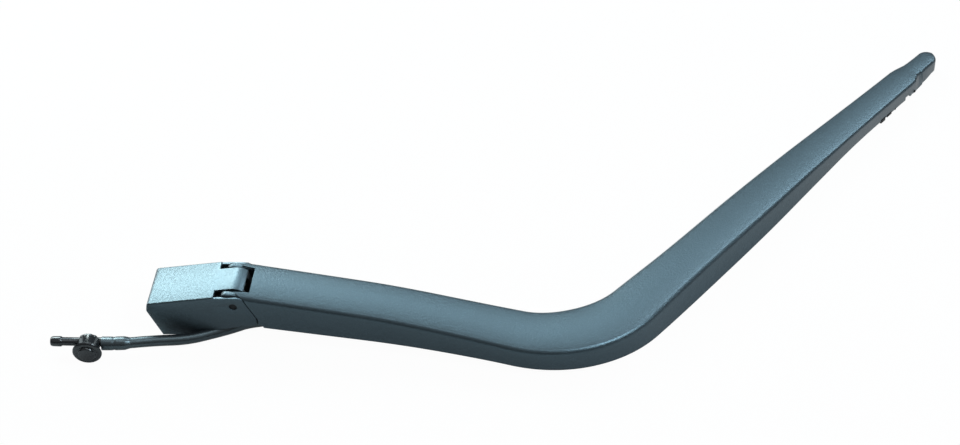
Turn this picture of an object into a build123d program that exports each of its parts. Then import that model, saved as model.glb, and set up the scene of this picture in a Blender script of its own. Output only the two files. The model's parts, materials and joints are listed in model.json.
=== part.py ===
from build123d import *
import os
from math import atan2, cos, degrees, hypot, radians, sin, sqrt

# Wiper arm in millimetres, lying as it comes to rest on a table.
# Origin: mouth of the spindle bore. X runs along the head towards the blade, Z is up from the table.
# Hinge pieces are drawn about the hinge axis, head pieces in a head that slopes down away from it.

# Head and hinge
HEAD_PITCH = 14.0
SPINDLE_TO_HINGE = 33.0
HINGE_RISE = 14.0
LIFT = 60.0
PIN_RADIUS = 2.5
RUNNING = 0.05
STATIC = 0.03
SEAT = 0.2
GAP = 0.3

# Cover cap, measured from the hinge axis in the head's own slope
COVER_TOP = 9.7
COVER_DEPTH = 17.2
COVER_LENGTH = 57.0
COVER_BULGE = 4.0
COVER_SHOULDER = 2.2
COVER_FOOT = 53.0
COVER_HALF = 16.1
COVER_FOOT_HALF = 17.3
COVER_WALL = 1.8
COVER_PLATE = 2.0
COVER_EDGE = 2.2
COVER_ROUND = 2.6
COVER_DRAFT = 0.06
CHEEK_RADIUS = 8.9
CHEEK_ARC_END = 35.0
CHEEK_DIP = 7.4
CHEEK_KNEE = 11.5
CHEEK_KNEE_DROP = 12.0
CHEEK_END = 10.6
NOTCH_START = 10.4
TONGUE_HALF = 9.4
LIP_END = 38.0

# Arm channel: plan of its centre line
STRAIGHT = 80.0
SWAY_LENGTH = 98.0
SWAY_ANGLE = 8.0
BEND_RADIUS = 75.0
BEND_ANGLE = 62.7
ARM_LENGTH = 594.0

# Arm channel: section
SHEET = 1.7
CORNER = 3.0
CROWN = 1.4
CROWN_HALF = 16.0
CHANNEL_START = 4.0
# height of the hinge over the walls' lower edge at the tip, which all heights along the arm start from
HINGE_OVER_WALLS = 27.06
# distance from hinge, half width, height of web edge, height of wall foot, splay of wall
STATIONS = (
    (0.0, 16.0, 36.0, 12.6, 1.2),
    (80.0, 16.0, 27.8, 8.4, 1.0),
    (150.0, 16.4, 21.0, 4.8, 0.6),
    (178.0, 17.0, 19.0, 3.8, 0.5),
    (219.0, 18.2, 17.9, 2.0, 0.9),
    (260.0, 16.9, 17.4, 0.4, 2.2),
    (310.0, 15.0, 16.6, 0.0, 2.9),
    (380.0, 13.7, 14.2, 0.0, 2.5),
    (460.0, 12.0, 11.6, 0.0, 1.6),
    (540.0, 10.4, 10.2, 0.0, 0.8),
    (564.0, 9.9, 9.9, 0.0, 0.6),
    (578.0, 6.8, 9.6, 0.0, 0.4),
    (600.0, 6.4, 9.2, 0.0, 0.3),
)
SWAY_SECTIONS = 4
BEND_SECTIONS = 9
REACH_SECTIONS = 7
FRONT_END = 40.0
TIP_LEAD = 19.0
NECK = (558.0, 564.0, 568.0, 572.0, 576.0, 580.0)
NOSE_RADIUS = 6.2

# Hinge ears, pressed in from the walls so that the cheeks cover them
EAR_OUTER = 14.0
EAR_RADIUS = 9.0
EAR_RIM = 10.6
EAR_RIM_END = 170.0
EAR_ROOT = 6.0
EAR_SHOULDER = 2.5
EAR_SKIRT = 1.6
WEB_START = 10.0
FRONT_GAP = 0.6
# step and chin at the front of the walls, from the hinge axis: along, up
FRONT_STEP = (17.6, -14.0)
FRONT_CHIN = (18.4, -15.3)

# Mounting head casting
BORE_RADIUS = 5.0
BOSS_RADIUS = 10.6
BOSS_TOP = -2.0
NUT_SEAT_RADIUS = 9.4
EYE_RADIUS = 7.4
EYE_OUTER = 9.6
EYE_BOSS_RADIUS = 7.0
EYE_BOSS_OUTER = 11.2
APRON_REACH = 5.5
SLOT_HALF = 5.2
SLOT_START = 14.5
BEAM_TOP = 3.0
BEAM_BOTTOM = -11.0
CATCH_START = 46.0
CATCH_THICK = 2.6
CATCH_HALF = 8.0
POCKET_WALL = 2.6

# Hinge bushes
BUSH_RADIUS = 4.3
BUSH_FLANGE_RADIUS = 5.6
BUSH_FLANGE = 0.8

# Spring, its hook and its anchor
HOOK_PIN_BACK = 8.9
HOOK_PIN_DROP = 1.5
HOOK_PIN_RADIUS = 2.2
HOOK_THICK = 2.5
HOOK_HALF = 4.0
HOOK_OPEN = 200.0
HOOK_BEND = 3.0
HOOK_EXIT = 295.0
HOOK_KNEE = 8.7
HOOK_EYE = 30.0
HOOK_TAB = 3.5
HOOK_TAB_RUN = 8.0
ANCHOR_REACH = 110.0
ANCHOR_DROP = 13.0
ANCHOR_SHEET = 2.0
ANCHOR_HALF = 4.4
ANCHOR_NECK = 6.0
ANCHOR_PAD = 14.0
SPRING_MEAN = 4.5
SPRING_WIRE = 0.95
SPRING_TURNS = 20

# Washer hose, its clips and the nipple at its end
HOSE_RADIUS = 3.5
# free tail, from the hinge axis: along, across, height above the table
TAIL_ROUTE = (
    (-50.0, -28.0, 5.6),
    (-30.0, -23.2, 3.7),
    (-13.0, -15.2, 3.6),
    (-2.5, -12.2, 5.9),
    (8.0, -10.6, 10.6),
)
TAIL_START = 8.1
OUTLET_RUN = 12.0
HOSE_SPLIT = 0.27
# inside the channel: distance from hinge, offset from centre line, height over the walls' lower edge
RUN_ROUTE = (
    (48.0, -10.6, 18.2),
    (90.0, -10.0, 19.8),
    (135.0, -8.7, 16.2),
    (178.0, -7.4, 12.5),
    (212.0, -5.0, 11.9),
    (246.0, -4.6, 11.5),
    (290.0, -4.0, 11.1),
    (345.0, -3.6, 10.0),
    (400.0, -3.0, 7.9),
    (455.0, -1.8, 6.1),
    (492.0, 0.0, 5.3),
    (506.0, 0.0, 5.3),
)
CLIP_RUNS = (1, 2, 6, 8)
CLIP_LENGTH = 9.0
CLIP_WALL = 1.2
CLIP_STEM = 4.4
CLIP_PAD = 6.0
CLIP_PAD_THICK = 1.0
CLIP_MOUTH = 3.0
NIPPLE_RADIUS = 2.4
NIPPLE_COLLAR = 3.4
NIPPLE_COLLAR_LENGTH = 3.0

# Tip insert
INSERT_SETBACK = 75.0
INSERT_LENGTH = 43.0
INSERT_LIFT = 0.5
INSERT_FIT = 0.45
INSERT_POCKET = 5.4
INSERT_ROOF = 2.0
INSERT_END_WALL = 5.0
FOOT_INSET = 3.0
FOOT_LENGTH = 15.0
FOOT_THICK = 1.7
FOOT_REACH = 1.3
WINDOW_INSET = 30.0
WINDOW_LENGTH = 14.0
WINDOW_HEIGHT = 3.2

# Check valve
VALVE_X = -89.2
VALVE_Y = -35.7
VALVE_YAW = 5.0
VALVE_BACK = 3.4
VALVE_FRONT = -6.8
VALVE_RADIUS = 7.2
VALVE_CHAMBER = 4.8
VALVE_BASE = 1.6
VALVE_RIM_RADIUS = 7.8
VALVE_RIM = 2.2
VALVE_NOTCHES = 14
VALVE_NOTCH_RADIUS = 0.7
VALVE_CAP_RADIUS = 8.4
VALVE_CAP_THICK = 4.6
VALVE_CAP_EDGE = 0.8
VALVE_DISH_RADIUS = 4.8
VALVE_DISH = 0.8
VALVE_PLUG = 1.6
STEM_RADIUS = 2.7
STEM_LENGTH = 11.5
STEM_ROOT = 1.0
STEM_BORE = 1.4
BARB_RADIUS = 3.25
BARB_LENGTH = 7.1
BARB_TIP = 0.8
OUTLET_RADIUS = 3.0
DIAPHRAGM = 0.8
VALVE_SPRING_RADIUS = 2.4
VALVE_SPRING_WIRE = 0.35
VALVE_SPRING_TURNS = 3

PITCH = radians(HEAD_PITCH)
HINGE_X = SPINDLE_TO_HINGE * cos(PITCH) - HINGE_RISE * sin(PITCH)
HINGE_Z = SPINDLE_TO_HINGE * sin(PITCH) + HINGE_RISE * cos(PITCH)
HINGE_HEIGHT = COVER_FOOT * sin(PITCH) + COVER_DEPTH * cos(PITCH)
ARM_AT = Pos(HINGE_X, 0, HINGE_Z)
HEAD_AT = ARM_AT * Rot(0, -HEAD_PITCH, 0)
EAR_INNER = EAR_OUTER - SHEET
INSERT_START = ARM_LENGTH - INSERT_SETBACK
INSERT_END = INSERT_START + INSERT_LENGTH
FOOT_START = INSERT_START + FOOT_INSET
FOOT_END = FOOT_START + FOOT_LENGTH
WINDOW_START = INSERT_START + WINDOW_INSET
WINDOW_END = WINDOW_START + WINDOW_LENGTH
TIP_START = INSERT_START - TIP_LEAD
CHEEK_INNER = COVER_HALF - COVER_WALL
OVERCUT = 2.0
FAR = 60.0


def save(node, solid):
    export_step(solid, f"parts/{node}.step")


def slab(sketch, side_a, side_b):
    """Extrude an X-Z outline between two distances across the arm."""
    low, high = min(side_a, side_b), max(side_a, side_b)
    return Pos(0, high, 0) * extrude(Plane.XZ * sketch, amount=high - low)


def outline(*points):
    return make_face(Polyline(*points, close=True))


def cross_rod(radius, side_a, side_b, x=0.0, z=0.0):
    return slab(Pos(x, z) * Circle(radius), side_a, side_b)


def head_to_arm(along, up):
    """Turn a point of the sloping head into level coordinates about the hinge axis."""
    return along * cos(PITCH) - up * sin(PITCH), along * sin(PITCH) + up * cos(PITCH)


def turned(x, z, angle):
    turn = radians(angle)
    return x * cos(turn) - z * sin(turn), x * sin(turn) + z * cos(turn)


# Cover cap: moulded shell over the head
def cover_side(inset, reach):
    """Side outline of the cap, or of its hollow when it is inset."""
    top = COVER_TOP - inset
    foot = -COVER_DEPTH - reach
    shoulder = (-COVER_LENGTH + COVER_SHOULDER + inset, top)
    bulge = (-COVER_LENGTH + inset, COVER_BULGE)
    dip = (-sqrt(CHEEK_RADIUS ** 2 - CHEEK_DIP ** 2), CHEEK_DIP)
    arc_end = turned(CHEEK_RADIUS, 0, CHEEK_ARC_END)
    corner = (-COVER_FOOT + inset, foot)
    back = Polyline(dip, (-NOTCH_START, CHEEK_DIP), (-NOTCH_START, top), shoulder, bulge, corner)
    front = Polyline(corner, (CHEEK_END, foot), (CHEEK_KNEE, -CHEEK_KNEE_DROP), arc_end)
    face = make_face([back, front, ThreePointArc(arc_end, (0, CHEEK_RADIUS), dip)])
    return fillet(face.vertices().sort_by(Axis.X)[:2], COVER_ROUND - inset)


def cover_plan(half, end_half):
    """Plan with parallel cheeks beside the hinge and a taper behind them."""
    return outline(
        (-FAR, -end_half), (-NOTCH_START, -half), (FAR, -half),
        (FAR, half), (-NOTCH_START, half), (-FAR, end_half),
    )


def cover_block(inset, reach):
    """Cap's width: parallel at the top plate, flared towards the foot of its closed end."""
    bottom = -COVER_DEPTH - reach
    stretch = (COVER_TOP - bottom) / (COVER_TOP + COVER_DEPTH)
    flare = (COVER_FOOT_HALF - COVER_HALF) * (FAR - NOTCH_START) / (COVER_FOOT - NOTCH_START)
    half = COVER_HALF - inset
    top_face = Pos(0, 0, COVER_TOP) * cover_plan(half, half)
    low_face = Pos(0, 0, bottom) * cover_plan(half, half + flare * stretch)
    low_half = half + COVER_DRAFT * FAR
    tunnel = outline(
        (-half, COVER_TOP - inset), (half, COVER_TOP - inset),
        (low_half, COVER_TOP - inset - FAR), (-low_half, COVER_TOP - inset - FAR),
    )
    tunnel = fillet(tunnel.vertices().sort_by(Axis.Y)[-2:], COVER_EDGE)
    return loft([top_face, low_face], ruled=True) & extrude(Plane.YZ * tunnel, amount=2 * FAR, both=True)


def cover_tongue():
    """Side outline of the tongue: on from the top plate, then rolled down round the hinge."""
    under = COVER_TOP - COVER_PLATE
    middle = (90 + LIP_END) / 2
    start = -NOTCH_START - COVER_WALL
    return make_face([
        Polyline((0, under), (start, under), (start, COVER_TOP), (0, COVER_TOP)),
        ThreePointArc((0, COVER_TOP), turned(COVER_TOP, 0, middle), turned(COVER_TOP, 0, LIP_END)),
        Line(turned(COVER_TOP, 0, LIP_END), turned(under, 0, LIP_END)),
        ThreePointArc(turned(under, 0, LIP_END), turned(under, 0, middle), (0, under)),
    ])


def cover_cap():
    shell = cover_block(0, 0) & slab(cover_side(0, 0), -FAR, FAR)
    shell -= cover_block(COVER_WALL, OVERCUT) & slab(cover_side(COVER_PLATE, OVERCUT), -FAR, FAR)
    mouth = outline((-NOTCH_START, -FAR), (FAR, -FAR), (FAR, FAR), (-NOTCH_START, FAR))
    shell -= slab(mouth, -CHEEK_INNER, CHEEK_INNER)
    shell += slab(cover_tongue(), -TONGUE_HALF, TONGUE_HALF)
    return shell - cross_rod(PIN_RADIUS + RUNNING, -FAR, FAR)


# Mounting head: die-cast fork on the wiper spindle
def mounting_head():
    spindle = -SPINDLE_TO_HINGE
    boss_height = BOSS_TOP + HINGE_RISE
    beam = outline(
        (-CATCH_START, BEAM_BOTTOM), (APRON_REACH, BEAM_BOTTOM), (EYE_RADIUS, 0),
        (0, EYE_RADIUS), (-SLOT_START, BEAM_TOP), (-CATCH_START, BEAM_TOP),
    )
    head = slab(beam + Circle(EYE_RADIUS), -EYE_OUTER, EYE_OUTER)
    head += cross_rod(EYE_BOSS_RADIUS, -EYE_BOSS_OUTER, EYE_BOSS_OUTER)
    head += Pos(spindle, 0, -HINGE_RISE + boss_height / 2) * Cylinder(BOSS_RADIUS, boss_height)
    catch = outline(
        (-CATCH_START, BEAM_BOTTOM), (-CATCH_START + CATCH_THICK, BEAM_BOTTOM),
        (-CATCH_START + CATCH_THICK, COVER_TOP - COVER_PLATE - GAP),
        (-CATCH_START, COVER_TOP - COVER_PLATE - GAP),
    )
    head += slab(catch, -CATCH_HALF, CATCH_HALF)
    head -= Pos(spindle, 0, BOSS_TOP + FAR / 2) * Cylinder(NUT_SEAT_RADIUS, FAR)
    head -= Pos(spindle, 0, 0) * Cylinder(BORE_RADIUS, FAR)
    slot = outline((-SLOT_START, -FAR), (FAR, -FAR), (FAR, FAR), (-SLOT_START, FAR))
    head -= slab(slot, -SLOT_HALF, SLOT_HALF)
    pocket_left = spindle + BOSS_RADIUS + POCKET_WALL / 2
    pocket_right = -SLOT_START - POCKET_WALL
    pocket = outline(
        (pocket_left, -FAR), (pocket_right, -FAR),
        (pocket_right, BEAM_TOP - POCKET_WALL), (pocket_left, BEAM_TOP - POCKET_WALL),
    )
    head -= slab(pocket, -EYE_OUTER + POCKET_WALL, EYE_OUTER - POCKET_WALL)
    head -= cross_rod(BUSH_RADIUS + STATIC, -FAR, FAR)
    return head - cross_rod(HOOK_PIN_RADIUS + STATIC, -FAR, FAR, -HOOK_PIN_BACK, -HOOK_PIN_DROP)


def bush(side):
    """Flanged nylon bush pressed into one eye of the fork."""
    body = cross_rod(BUSH_RADIUS, side * (SLOT_HALF + GAP), side * EYE_BOSS_OUTER)
    body += cross_rod(BUSH_FLANGE_RADIUS, side * EYE_BOSS_OUTER, side * (EYE_BOSS_OUTER + BUSH_FLANGE))
    return body - cross_rod(PIN_RADIUS + RUNNING, -FAR, FAR)


# Arm channel: pressed steel, its web on top and its walls splayed a little
def path_point(distance):
    """Point and heading of the channel's centre line in plan."""
    x = y = heading = 0.0
    bend = BEND_RADIUS * radians(BEND_ANGLE)
    pieces = ((STRAIGHT, 0.0), (SWAY_LENGTH, -SWAY_ANGLE), (bend, BEND_ANGLE), (ARM_LENGTH * 2, 0.0))
    for length, turn in pieces:
        step = min(distance, length)
        angle = radians(turn) * step / length
        chord = step * sin(angle / 2) / (angle / 2) if angle else step
        x += chord * cos(heading + angle / 2)
        y += chord * sin(heading + angle / 2)
        heading += angle
        distance -= step
    return x, y, heading


def station(distance):
    """Half width, web height, foot height and splay, as smooth curves through the stations."""
    last = len(STATIONS) - 2
    index = min(last, max(i for i, row in enumerate(STATIONS) if row[0] <= max(distance, 0.0)))
    here, there = STATIONS[index], STATIONS[index + 1]
    before, after = STATIONS[max(index - 1, 0)], STATIONS[min(index + 2, last + 1)]
    span = there[0] - here[0]
    t = (distance - here[0]) / span
    values = []
    for column in range(1, len(here)):
        slope_in = (there[column] - before[column]) / (there[0] - before[0]) * span
        slope_out = (after[column] - here[column]) / (after[0] - here[0]) * span
        rise = there[column] - here[column]
        cubic = slope_in * t + (3 * rise - 2 * slope_in - slope_out) * t ** 2
        values.append(here[column] + cubic + (slope_in + slope_out - 2 * rise) * t ** 3)
    return values


def across(distance, offset, height):
    """Point in the arm's frame from distance along, offset to the far side, height over the walls' edge."""
    x, y, heading = path_point(distance)
    return Vector(x - offset * sin(heading), y + offset * cos(heading), height - HINGE_OVER_WALLS)


def crown(half):
    return CROWN * half / CROWN_HALF


def web_underside(distance, offset):
    half, web, _, _ = station(distance)
    return web - SHEET + crown(half) * (1 - (offset / half) ** 2)


def section(distance, inset, reach):
    """Cross-section of the channel's outer form, or of its hollow when it is inset."""
    half, web, foot, splay = station(distance)
    foot = max(foot, 0.0)
    x, y, heading = path_point(distance)
    side, ahead = (-sin(heading), cos(heading), 0), (cos(heading), sin(heading), 0)
    plane = Plane((x, y, -HINGE_OVER_WALLS), side, ahead)
    low = foot - reach
    wide = half + splay * (web - low) / (web - foot) - inset
    narrow = half - inset
    top = web - inset
    walls = Polyline((-narrow, top), (-wide, low), (wide, low), (narrow, top))
    face = make_face([walls, ThreePointArc((narrow, top), (0, top + crown(half)), (-narrow, top))])
    corners = face.vertices().sort_by(Axis.Y)[-2:]
    return plane * fillet(corners, CORNER - inset)


def pressing(*distances):
    """Open channel through the given distances."""
    rings = [section(distance, 0, 0) - section(distance, SHEET, OVERCUT) for distance in distances]
    return loft(rings, ruled=True)


def even(start, length, count):
    return [start + length * i / count for i in range(count)]


def nose_block(inset, reach):
    """End of the channel, rounded in plan, or its hollow when it is inset."""
    end = ARM_LENGTH - inset
    radius = NOSE_RADIUS - inset
    x, y, heading = path_point(end)
    square = Rectangle(radius, FAR, align=(Align.MAX, Align.CENTER)) - Pos(-radius, 0) * Circle(radius)
    corners = Pos(x, y, 0) * Rot(0, 0, degrees(heading)) * extrude(square, amount=FAR, both=True)
    return loft([section(NECK[-1] - reach, inset, reach), section(end, inset, reach)]) - corners


def tip_box(start, end, near, far, low, high):
    """Block along the straight part of the tip, in distances and offsets."""
    x, y, heading = path_point(start)
    block = Box(end - start, far - near, high - low, align=(Align.MIN, Align.MIN, Align.MIN))
    return Pos(x, y, -HINGE_OVER_WALLS) * Rot(0, 0, degrees(heading)) * Pos(0, near, low) * block


def arm_channel():
    channel = pressing(CHANNEL_START, FRONT_END)
    # front of the walls, clear of the cap's cheeks
    cheek_high = head_to_arm(*turned(CHEEK_RADIUS, 0, CHEEK_ARC_END))
    cheek_knee = head_to_arm(CHEEK_KNEE, -CHEEK_KNEE_DROP)
    cheek_low = head_to_arm(CHEEK_END, -COVER_DEPTH)
    top_edge = cheek_high[0] + FRONT_GAP
    low_edge = max(cheek_knee[0], cheek_low[0]) + FRONT_GAP
    front = outline(
        (-FAR, FAR), (top_edge, FAR), (top_edge, cheek_high[1]), (cheek_knee[0] + FRONT_GAP, cheek_knee[1]),
        (low_edge, FRONT_STEP[1] + FRONT_GAP), FRONT_STEP, FRONT_CHIN, (FRONT_CHIN[0], -FAR), (-FAR, -FAR),
    )
    keep = cheek_high[1] - FRONT_GAP
    front = front - outline((0, keep), (FAR, keep), (FAR, FAR), (0, FAR)) + Circle(CHEEK_RADIUS + FRONT_GAP)
    channel -= slab(front, -FAR, FAR)
    # notch in the web for the cap's lip
    notch = outline((-FAR, 0), (WEB_START, 0), (WEB_START, FAR), (-FAR, FAR))
    channel -= slab(notch, -EAR_RIM, EAR_RIM)
    # ears with a turned-in rim, joggled out to the walls
    rim_top = station(WEB_START)[1] - HINGE_OVER_WALLS
    root = cheek_low[0] + EAR_ROOT
    skirt = -EAR_RADIUS - EAR_SKIRT
    plate = outline(
        (0, EAR_RADIUS), (WEB_START, rim_top), (root, rim_top - EAR_SHOULDER),
        (root, skirt), (0, -EAR_RADIUS),
    )
    rim_end = turned(EAR_RADIUS, 0, EAR_RIM_END)
    rim_mid = turned(EAR_RADIUS, 0, (90 + EAR_RIM_END) / 2)
    thin = EAR_RADIUS - SHEET
    rim_start = WEB_START + SHEET
    rim = make_face([
        Polyline((0, thin), (rim_start, rim_top - SHEET), (rim_start, rim_top), (0, EAR_RADIUS)),
        ThreePointArc((0, EAR_RADIUS), rim_mid, rim_end),
        Line(rim_end, turned(thin, 0, EAR_RIM_END)),
        ThreePointArc(turned(thin, 0, EAR_RIM_END), turned(thin, 0, (90 + EAR_RIM_END) / 2), (0, thin)),
    ])
    shank = low_edge + FRONT_GAP
    joggle = outline((shank, 0), (root, 0), (root, skirt), (shank, skirt))
    for side in (-1, 1):
        channel += slab(plate + Circle(EAR_RADIUS), side * EAR_INNER, side * EAR_OUTER)
        channel += slab(rim, side * EAR_RIM, side * EAR_OUTER)
        channel += slab(joggle, side * EAR_INNER, side * (CHEEK_INNER + SHEET / 2))
    channel -= cross_rod(PIN_RADIUS + STATIC, -FAR, FAR)
    # gaps in the walls at the tip: round the insert's feet, and a window for the blade's catch
    tip = pressing(TIP_START, (TIP_START + NECK[0]) / 2, *NECK)
    tip -= tip_box(FOOT_START - GAP, FOOT_END + GAP, -FAR, FAR, -FAR, FOOT_THICK + 2 * GAP)
    tip -= tip_box(WINDOW_START, WINDOW_END, -FAR, FAR, -FAR, WINDOW_HEIGHT)
    tip += nose_block(0, 0) - nose_block(SHEET, OVERCUT)
    # the long part between, with closer sections in the bend
    bend_start = STRAIGHT + SWAY_LENGTH
    bend = BEND_RADIUS * radians(BEND_ANGLE)
    bend_end = bend_start + bend
    distances = [FRONT_END, *even(STRAIGHT, SWAY_LENGTH, SWAY_SECTIONS)]
    distances += even(bend_start, bend, BEND_SECTIONS)
    distances += [*even(bend_end, TIP_START - bend_end, REACH_SECTIONS), TIP_START]
    return channel + pressing(*distances) + tip


def hinge_pin():
    return cross_rod(PIN_RADIUS, -COVER_HALF + 2 * GAP, COVER_HALF - 2 * GAP)


# Spring group: C-hook on the head, tension spring, anchor under the web
HOOK_X, HOOK_Z = head_to_arm(-HOOK_PIN_BACK, -HOOK_PIN_DROP)
PULL_X, PULL_Z = ANCHOR_REACH - HOOK_X, -ANCHOR_DROP - HOOK_Z
PULL_LENGTH = hypot(PULL_X, PULL_Z)
PULL_ANGLE = degrees(atan2(PULL_Z, PULL_X))
RAISED = turned(ANCHOR_REACH, -ANCHOR_DROP, LIFT)
RAISED_ANGLE = degrees(atan2(RAISED[1] - HOOK_Z, RAISED[0] - HOOK_X))
HOOK_AT = ARM_AT * Pos(HOOK_X, 0, HOOK_Z) * Rot(0, -PULL_ANGLE, 0)


def spring_hook():
    """Flat steel bent round the hook pin and bowed to pass round the hinge pin when the arm is lifted."""
    wrap = HOOK_PIN_RADIUS + RUNNING + HOOK_THICK / 2
    bow_x, bow_z = turned(-HOOK_X, -HOOK_Z, -RAISED_ANGLE)
    bow = hypot(bow_x, bow_z) - wrap
    meet = degrees(atan2(bow_z, bow_x))
    tip = turned(bow, 0, HOOK_EXIT)
    leave = (bow_x + tip[0], bow_z + tip[1])
    rise = turned(0, HOOK_KNEE, HOOK_EXIT)
    knee = (leave[0] + rise[0], leave[1] + rise[1])
    tab_end = HOOK_EYE + HOOK_TAB
    lines = [
        CenterArc((0, 0), wrap, HOOK_OPEN, meet - HOOK_OPEN),
        CenterArc((bow_x, bow_z), bow, meet + 180, HOOK_EXIT - meet - 180),
        FilletPolyline(leave, knee, (tab_end - HOOK_TAB_RUN, 0), (tab_end, 0), radius=HOOK_BEND),
    ]
    strip = slab(trace(lines, HOOK_THICK), -HOOK_HALF, HOOK_HALF)
    return strip - Pos(HOOK_EYE, 0, 0) * Cylinder(SPRING_WIRE + 2 * GAP, FAR)


def tension_spring():
    """Coil with a full loop at each end, drawn along its own axis from the hook pin."""
    first = HOOK_EYE + 2 * SPRING_MEAN
    length = PULL_LENGTH - first - 2 * SPRING_MEAN
    path = Helix(length / SPRING_TURNS, length, SPRING_MEAN, (first, 0, 0), (1, 0, 0))
    coil = sweep(Plane(path @ 0, z_dir=path % 0) * Circle(SPRING_WIRE), path=path, is_frenet=True)
    start = path @ 0
    spring = Rot(90 - degrees(atan2(start.Z, start.Y)), 0, 0) * coil
    bar = Rot(0, 90, 0) * Cylinder(SPRING_WIRE * 0.9, SPRING_MEAN + SPRING_WIRE)
    loop = Rot(90, 0, 0) * Torus(SPRING_MEAN, SPRING_WIRE)
    for loop_x, bar_x in ((first - SPRING_MEAN, first - SPRING_MEAN / 2),
                          (first + length + SPRING_MEAN, first + length + SPRING_MEAN / 2)):
        spring += Pos(loop_x, 0, 0) * loop
        spring += Pos(bar_x, 0, SPRING_MEAN) * bar
    return spring


def spring_anchor():
    """Z-bent strip welded under the web, with the hole that the spring hooks into."""
    riser = ANCHOR_REACH + ANCHOR_NECK
    reach = riser + ANCHOR_PAD
    roof_a = web_underside(riser - ANCHOR_SHEET, ANCHOR_HALF) - HINGE_OVER_WALLS - SEAT
    roof_b = web_underside(reach, ANCHOR_HALF) - HINGE_OVER_WALLS - SEAT
    low, high = -ANCHOR_DROP - ANCHOR_SHEET / 2, -ANCHOR_DROP + ANCHOR_SHEET / 2
    strip = outline(
        (ANCHOR_REACH - ANCHOR_NECK / 2 - SPRING_WIRE, low), (riser, low), (riser, roof_a - ANCHOR_SHEET),
        (reach, roof_b - ANCHOR_SHEET), (reach, roof_b), (riser - ANCHOR_SHEET, roof_a),
        (riser - ANCHOR_SHEET, high), (ANCHOR_REACH - ANCHOR_NECK / 2 - SPRING_WIRE, high),
    )
    hole = Pos(ANCHOR_REACH, 0, -ANCHOR_DROP) * Cylinder(SPRING_WIRE + 2 * GAP, 3 * ANCHOR_SHEET)
    return slab(strip, -ANCHOR_HALF, ANCHOR_HALF) - hole


# Washer hose
def hose(points):
    """Tube along straight runs with an arc at each point as large as the runs allow."""
    runs = [b - a for a, b in zip(points, points[1:])]
    radii = []
    for one, two in zip(runs, runs[1:]):
        half_turn = radians(one.get_angle(two)) / 2
        radii.append(0.45 * min(one.length, two.length) / (sin(half_turn) / cos(half_turn)))
    print("hose radii", [round(radius) for radius in radii])
    route = FilletPolyline(*points, radius=radii)
    tube = sweep(Plane(route @ 0, z_dir=route % 0) * Circle(HOSE_RADIUS), path=route)
    print("hose length", round(route.length, 1), "volume", round(tube.volume))
    return tube


VALVE_Z = VALVE_CAP_RADIUS - HINGE_HEIGHT
VALVE_AT = Pos(VALVE_X, VALVE_Y, VALVE_Z) * Rot(0, 0, VALVE_YAW)
OUTLET = [(VALVE_AT * Pos(reach, 0, 0)).position for reach in (TAIL_START, TAIL_START + OUTLET_RUN)]
TAIL_POINTS = [Vector(x, y, height - HINGE_HEIGHT) for x, y, height in TAIL_ROUTE]
RUN_POINTS = [across(*row) for row in RUN_ROUTE]
HOSE_JOIN = TAIL_POINTS[-1] + (RUN_POINTS[0] - TAIL_POINTS[-1]) * HOSE_SPLIT
TAIL_POINTS = [*OUTLET, *TAIL_POINTS, HOSE_JOIN]


def along_run(index):
    """Place halfway along one run of the channel's hose, X along the run and Z as near up as can be."""
    a, b = RUN_POINTS[index], RUN_POINTS[index + 1]
    run = b - a
    side = Vector(-run.Y, run.X, 0)
    return Plane((a + b) * 0.5, run, run.cross(side)).location


def hose_clip(index):
    """Plastic clip snapped over the hose, its pad glued under the web."""
    distance = (RUN_ROUTE[index][0] + RUN_ROUTE[index + 1][0]) / 2
    offset = (RUN_ROUTE[index][1] + RUN_ROUTE[index + 1][1]) / 2
    slope = (RUN_ROUTE[index + 1][2] - RUN_ROUTE[index][2]) / (RUN_ROUTE[index + 1][0] - RUN_ROUTE[index][0])
    centre = (RUN_ROUTE[index][2] + RUN_ROUTE[index + 1][2]) / 2
    half_length, half_pad = CLIP_LENGTH / 2, CLIP_PAD / 2
    corners = [(along, aside) for along in (-half_length, half_length) for aside in (-half_pad, half_pad)]
    roofs = [web_underside(distance + along, offset + aside) - slope * along for along, aside in corners]
    top = min(roofs) - centre - GAP
    hole = HOSE_RADIUS + RUNNING
    ring = Circle(hole + CLIP_WALL) + Pos(0, top / 2) * Rectangle(CLIP_STEM, top)
    ring += Pos(0, top - CLIP_PAD_THICK / 2) * Rectangle(CLIP_PAD, CLIP_PAD_THICK)
    ring -= Circle(hole) + Pos(0, top) * Rectangle(FAR, FAR, align=(Align.CENTER, Align.MIN))
    ring -= Pos(0, -hole) * Rectangle(2 * CLIP_MOUTH, 2 * hole)
    return along_run(index) * extrude(Plane.YZ * ring, amount=CLIP_LENGTH / 2, both=True)


def hose_nipple():
    """Nipple between the hose's end and the tip insert."""
    length = INSERT_START - RUN_ROUTE[-1][0]
    stem = Cylinder(NIPPLE_RADIUS, length, align=(Align.CENTER, Align.CENTER, Align.MIN))
    stem += Cylinder(NIPPLE_COLLAR, NIPPLE_COLLAR_LENGTH, align=(Align.CENTER, Align.CENTER, Align.MIN))
    return Plane(RUN_POINTS[-1], z_dir=RUN_POINTS[-1] - RUN_POINTS[-2]) * (stem - Cylinder(STEM_BORE, FAR))


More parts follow.
